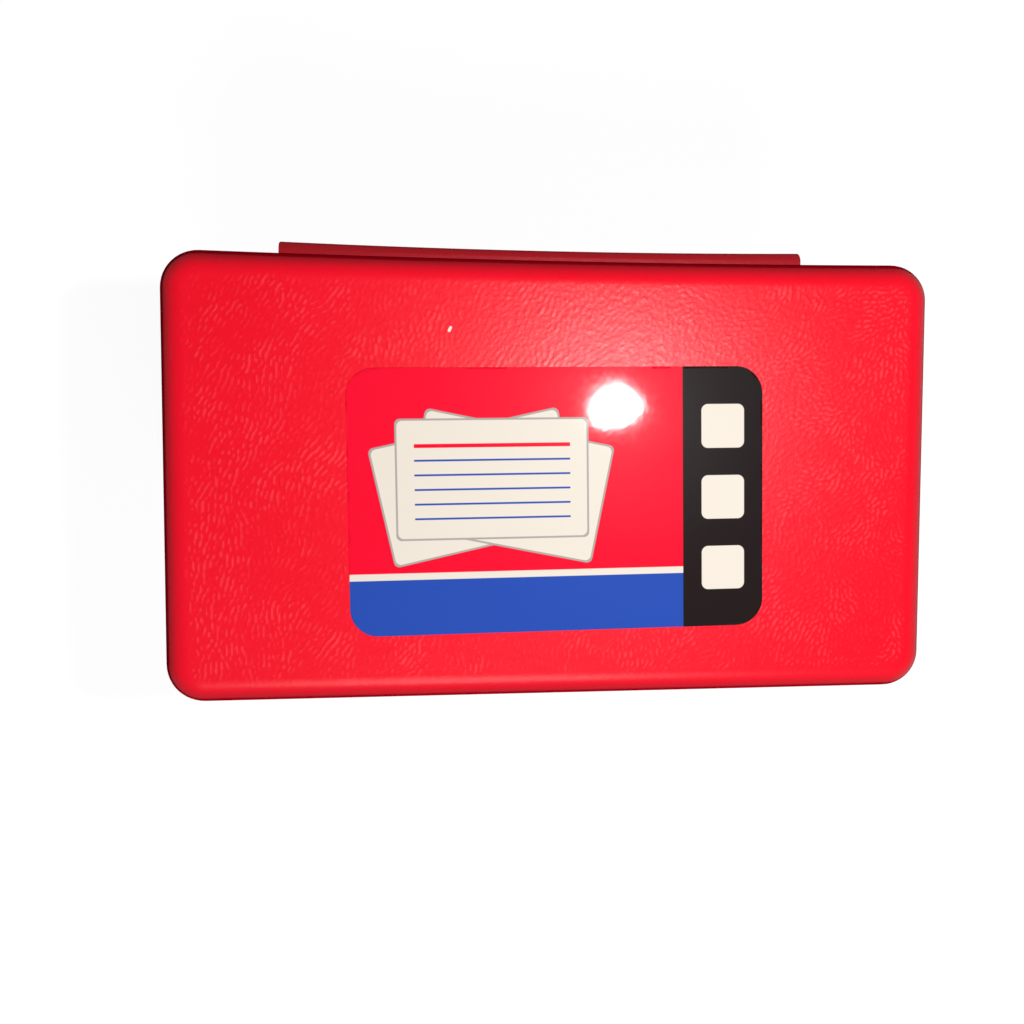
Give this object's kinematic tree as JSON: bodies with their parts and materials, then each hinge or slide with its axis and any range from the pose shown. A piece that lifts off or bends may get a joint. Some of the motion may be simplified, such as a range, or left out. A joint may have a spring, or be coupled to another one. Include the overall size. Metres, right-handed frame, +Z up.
{
  "type": "index card box",
  "caption": "Tall plastic box for index cards that stand on edge, with a grained lid on a living hinge at the back and a printed sticker on the lid.",
  "frame": {"origin": "middle of the foot ring, on the surface that the box stands on", "axes": "+X across the box, -Y towards the front, +Y towards the hinge, +Z up"},
  "size_m": [0.1424, 0.0866, 0.0921],
  "materials": {
    "red_plastic": "satin moulded polypropylene with a leather grain",
    "printed_film": "glossy printed film"
  },
  "bodies": {
    "base": {"base_box": "red_plastic", "hinge_web": "red_plastic"},
    "lid": {"lid_cover": "red_plastic", "label_sticker": "printed_film"}
  },
  "joints": [
    {"name": "lid_hinge", "type": "hinge", "parent": "base", "child": "lid", "pos_m": [0, 0.045, 0.0701], "axis": [-1, 0, 0], "range_deg": [0, 178]}
  ]
}
